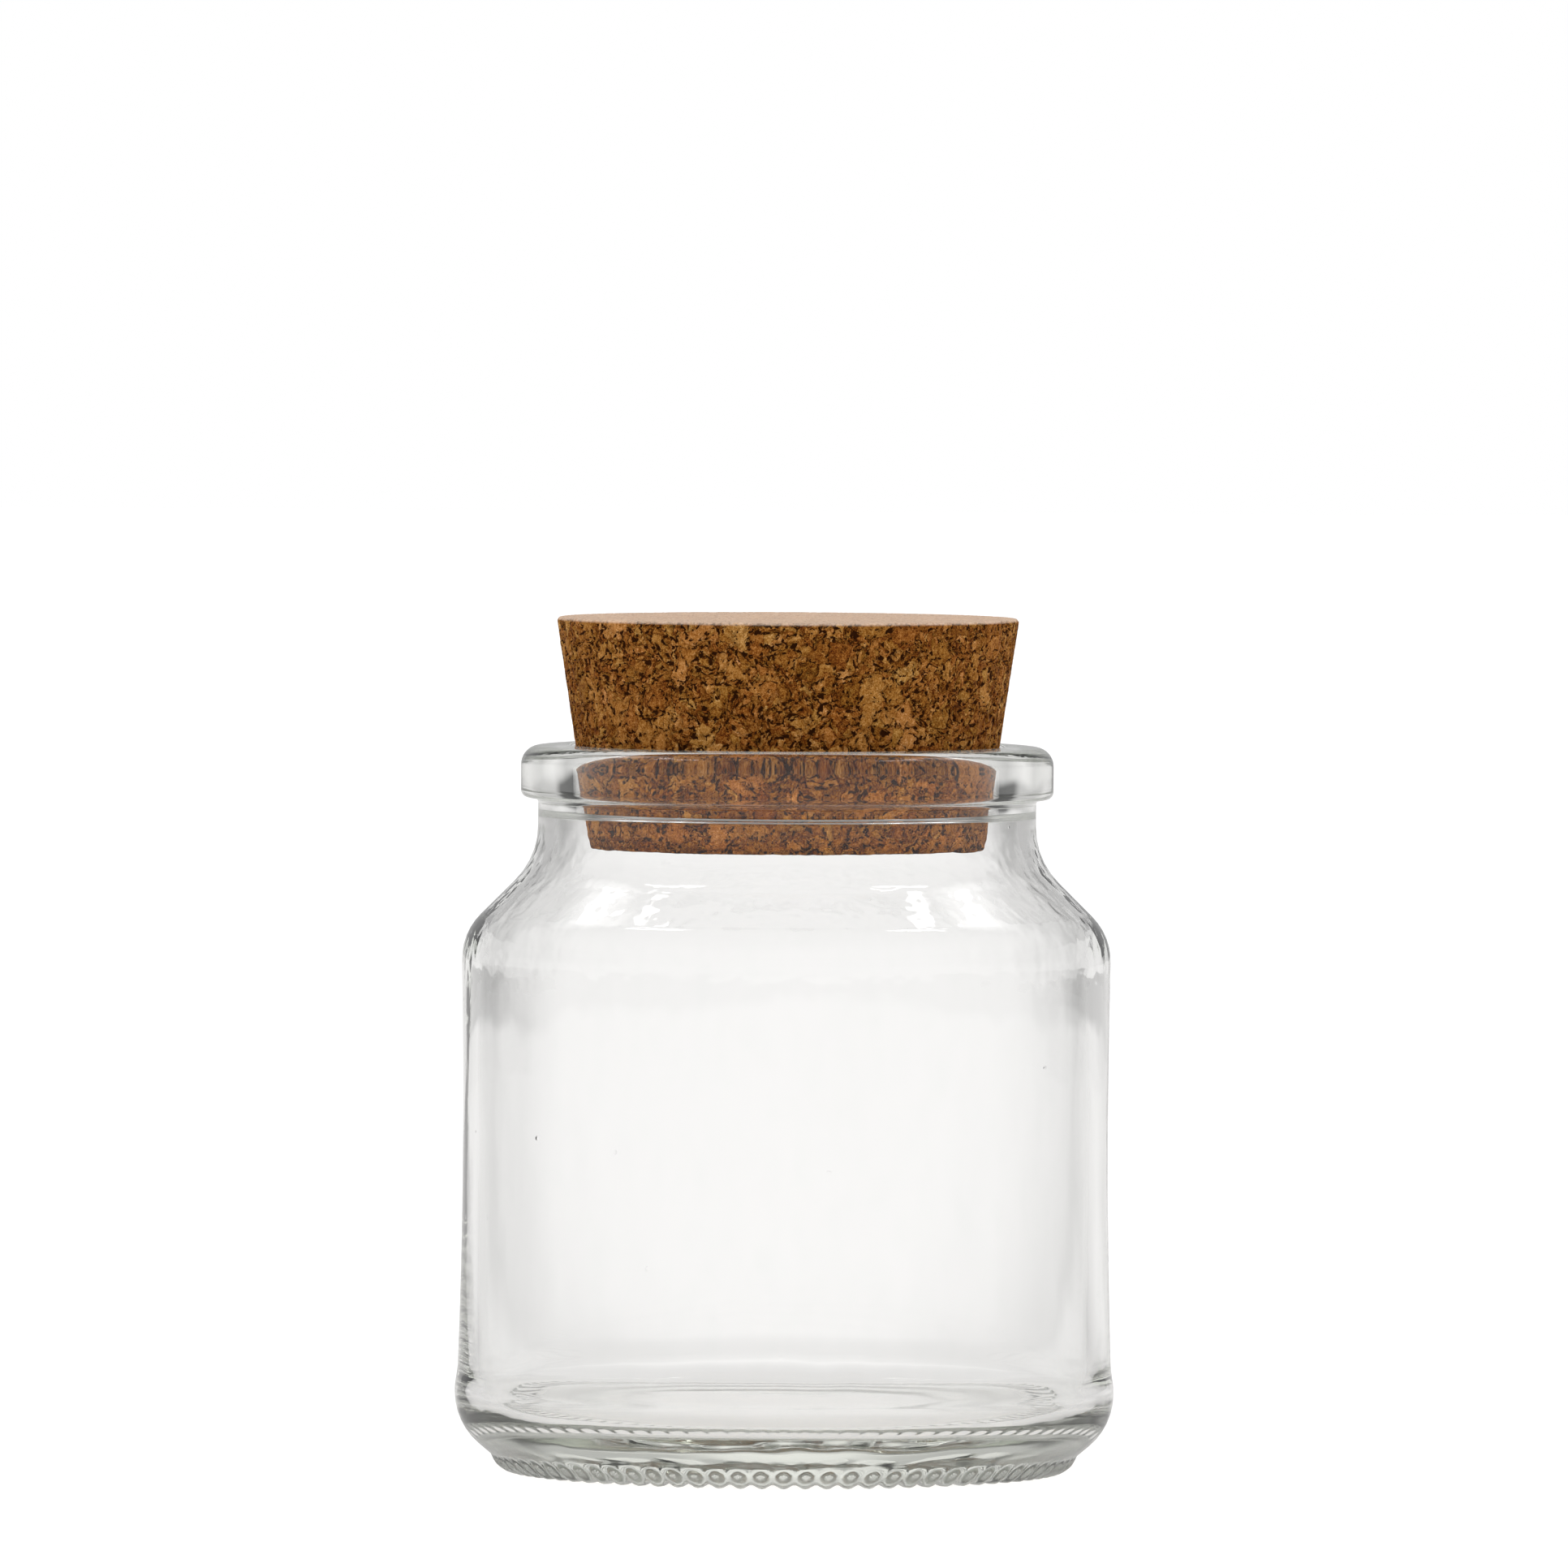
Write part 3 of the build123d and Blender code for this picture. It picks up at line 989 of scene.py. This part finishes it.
def softbox_glow(tree, towards, studio):
    """Level of the lamps on both sides in a direction, soft towards their edges."""
    parts = xyz(tree, towards)
    side = maths(tree, "ABSOLUTE", parts[0])
    mirrored = add_node(
        tree, "ShaderNodeCombineXYZ", {0: side, 1: parts[1], 2: parts[2]}
    ).outputs[0]

    def along(axis):
        return vector_maths(tree, "DOT_PRODUCT", mirrored, tuple(axis)).node.outputs["Value"]

    near = along(direction(90 - math.degrees(studio.lamp_turn), math.degrees(studio.lamp_rise)))
    veil = ramp_between(tree, near, math.cos(studio.softbox_edge), 1.0, 0.0, studio.softbox)
    core = ramp_between(tree, near, math.cos(studio.core_edge), 1.0, 0.0, studio.softbox_core)
    star = along(direction(*STAR))
    star = ramp_between(tree, star, math.cos(studio.star_edge), 1.0, 0.0, studio.small_lamps)
    first, last = (direction(*end) for end in STREAK)
    off = maths(tree, "ABSOLUTE", along(first.cross(last).normalized()))
    streak = ramp_between(tree, off, 0.0, math.sin(studio.streak_edge), studio.small_lamps, 0.0)
    half = first.angle(last) / 2
    ends = ramp_between(
        tree, along((first + last).normalized()), math.cos(half * 1.2), math.cos(half * 0.8)
    )
    small = maths(tree, "MULTIPLY_ADD", streak, ends, star)
    return maths(tree, "ADD", maths(tree, "ADD", veil, core), small)


def studio_world(studio, around_group):
    """A white backdrop that glass and gloss show too, with softer light on the object itself."""
    world = bpy.data.worlds.new("studio")
    world.use_nodes = True
    tree = world.node_tree
    background = next(node for node in tree.nodes if node.type == "BACKGROUND")
    towards = add_node(tree, "ShaderNodeTexCoord").outputs["Generated"]
    around = group_node(tree, around_group)
    tree.links.new(towards, around.inputs["Direction"])
    parts = xyz(tree, towards)
    glow = softbox_glow(tree, towards, studio)
    rise = parts[2]
    above = ramp_between(tree, rise, 0.15, 0.85, 1.0, studio.ceiling)
    backdrop = maths(tree, "MULTIPLY_ADD", around.outputs["Beyond"], above, glow)
    backdrop = vector_maths(tree, "MULTIPLY", backdrop, tuple(studio.warmth))
    side = maths(tree, "ABSOLUTE", parts[0])
    ambience = ramp_between(tree, side, 0.2, 0.9, studio.front_light, studio.side_light)
    path = add_node(tree, "ShaderNodeLightPath")
    mirror = ramp_between(tree, rise, 0.02, 0.35, studio.mirrored, studio.mirrored_above)
    low = ramp_between(tree, rise, 0.2, 0.5, 1.0, 0.0)
    behind = maths(tree, "MULTIPLY", around.outputs["Behind"], low)
    mirror = blended(tree, behind, mirror, studio.mirrored_beyond)
    mirror = maths(tree, "ADD", mirror, glow)
    through = path.outputs["Is Transmission Ray"]
    level = mixed(tree, path.outputs["Is Glossy Ray"], ambience, mirror)
    level = mixed(tree, through, level, backdrop)
    within = maths(tree, "MULTIPLY", through, path.outputs["Diffuse Depth"])
    level = mixed(tree, within, level, rgba(studio.light_within))
    level = mixed(tree, path.outputs["Is Camera Ray"], level, (1.0, 1.0, 1.0, 1.0))
    tree.links.new(level, background.inputs["Color"])
    bpy.context.scene.world = world


def floor_material(studio, around_group):
    """White floor that keeps a soft part of the real shadow; glass shows it with a painted shadow
    near the jar, painted shade bands round it and the backdrop's levels beyond the table, and gloss
    shows a painted pool of light.
    """
    material, tree, shader, output = new_material("white_floor")
    shader.inputs["Base Color"].default_value = (0.86, 0.86, 0.86, 1.0)
    shader.inputs["Roughness"].default_value = 0.9
    shader.inputs["Specular IOR Level"].default_value = 0.0
    place = object_place(tree)
    around = group_node(tree, around_group)
    tree.links.new(place, around.inputs["Direction"])
    reach = vector_maths(tree, "LENGTH", place).node.outputs["Value"]
    # Painted shadow: near the jar the floor's glow, as glass shows it, is dimmed in place of the
    # jar's shadow, and the table's painted shade bands lie round it
    out = ramp_between(tree, reach, studio.painted_shadow_reach, studio.floor_far)
    level = blended(tree, out, studio.painted_shadow_level, around.outputs["Table"])
    beyond = ramp_between(tree, reach, studio.table_reach, studio.backdrop_reach)
    level = blended(tree, beyond, level, around.outputs["Beyond"])
    path = add_node(tree, "ShaderNodeLightPath")
    camera = path.outputs["Is Camera Ray"]
    through = path.outputs["Is Transmission Ray"]
    glossy = maths(tree, "GREATER_THAN", path.outputs["Is Glossy Ray"], through)
    # Painted light for gloss: the floor glows brighter near the jar, over its real shadow, and
    # dimmer further off
    gloss = ramp_between(
        tree, reach, studio.floor_lit, studio.floor_unlit, studio.floor_gloss, studio.mirrored
    )
    behind = blended(tree, beyond, studio.mirrored_behind, studio.mirrored_beyond)
    gloss = blended(tree, around.outputs["Behind"], gloss, behind)
    level = blended(tree, glossy, level, gloss)
    level = blended(tree, camera, level, studio.floor_white)
    shown = mixed(tree, camera, rgba(studio.warmth), (1.0, 1.0, 1.0, 1.0))
    glow = add_node(tree, "ShaderNodeEmission", {"Color": shown, "Strength": level})
    share = maths(tree, "MULTIPLY_ADD", camera, studio.floor_share, glossy)
    share = maths(tree, "MULTIPLY_ADD", through, studio.floor_shown, share)
    mix = add_node(
        tree, "ShaderNodeMixShader", {0: share, 1: shader.outputs[0], 2: glow.outputs[0]}
    )
    tree.links.new(mix.outputs[0], output.inputs["Surface"])
    return material


class CORKJAR_OT_studio(bpy.types.Operator):
    """Set up the floor, the backdrop, the softboxes and the camera."""

    bl_idname = "corkjar.studio"
    bl_label = "Studio"

    def execute(self, context):
        scene = context.scene
        studio = scene.studio_sizes
        scene.view_settings.view_transform = "Standard"
        scene.cycles.max_bounces = 32
        scene.cycles.glossy_bounces = 24
        scene.cycles.transmission_bounces = 32
        around = studio_group(studio)
        studio_world(studio, around)
        bm = bmesh.new()
        bmesh.ops.create_grid(bm, x_segments=1, y_segments=1, size=studio.floor_size / 2)
        mesh = bpy.data.meshes.new("floor")
        bm.to_mesh(mesh)
        bm.free()
        mesh.materials.append(floor_material(studio, around))
        floor = bpy.data.objects.new("floor", mesh)
        scene.collection.objects.link(floor)
        add_lamp("softbox_left", -1, studio)
        add_lamp("softbox_right", 1, studio)
        camera = bpy.data.objects.new("camera", bpy.data.cameras.new("camera"))
        camera.location = (0, -studio.camera_distance, studio.camera_height)
        aim = Vector((studio.aim_side, 0, studio.aim_height)) - camera.location
        camera.data.lens = camera.data.sensor_width * aim.length / studio.frame_width
        facing = aim.to_track_quat("-Z", "Y").to_matrix()
        turn = facing @ Matrix.Rotation(studio.camera_roll, 3, "Z")
        camera.rotation_euler = turn.to_euler()
        camera.data.clip_end = studio.floor_size
        scene.collection.objects.link(camera)
        scene.camera = camera
        return {"FINISHED"}


class CORKJAR_PT_panel(bpy.types.Panel):
    """Lists the steps that build the jar."""

    bl_idname = "CORKJAR_PT_panel"
    bl_label = "Cork Jar"
    bl_space_type = "VIEW_3D"
    bl_region_type = "UI"
    bl_category = "Cork Jar"

    def draw(self, context):
        for operator in operators:
            self.layout.operator(operator.bl_idname)


operators = (CORKJAR_OT_studio, CORKJAR_OT_glass_jar, CORKJAR_OT_cork_stopper)
settings = {"jar_sizes": JarSizes, "cork_sizes": CorkSizes, "studio_sizes": StudioSizes}


def register():
    """Adds the settings, the operators and the panel."""
    for kind in (*settings.values(), *operators, CORKJAR_PT_panel):
        bpy.utils.register_class(kind)
    for name, kind in settings.items():
        setattr(bpy.types.Scene, name, PointerProperty(type=kind))


def unregister():
    """Takes away what register added."""
    for name in settings:
        delattr(bpy.types.Scene, name)
    for kind in reversed((*settings.values(), *operators, CORKJAR_PT_panel)):
        bpy.utils.unregister_class(kind)


def main():
    """Builds the stage and every piece."""
    register()
    bpy.ops.corkjar.studio()
    bpy.ops.corkjar.glass_jar()
    bpy.ops.corkjar.cork_stopper()


if __name__ == "__main__":
    main()
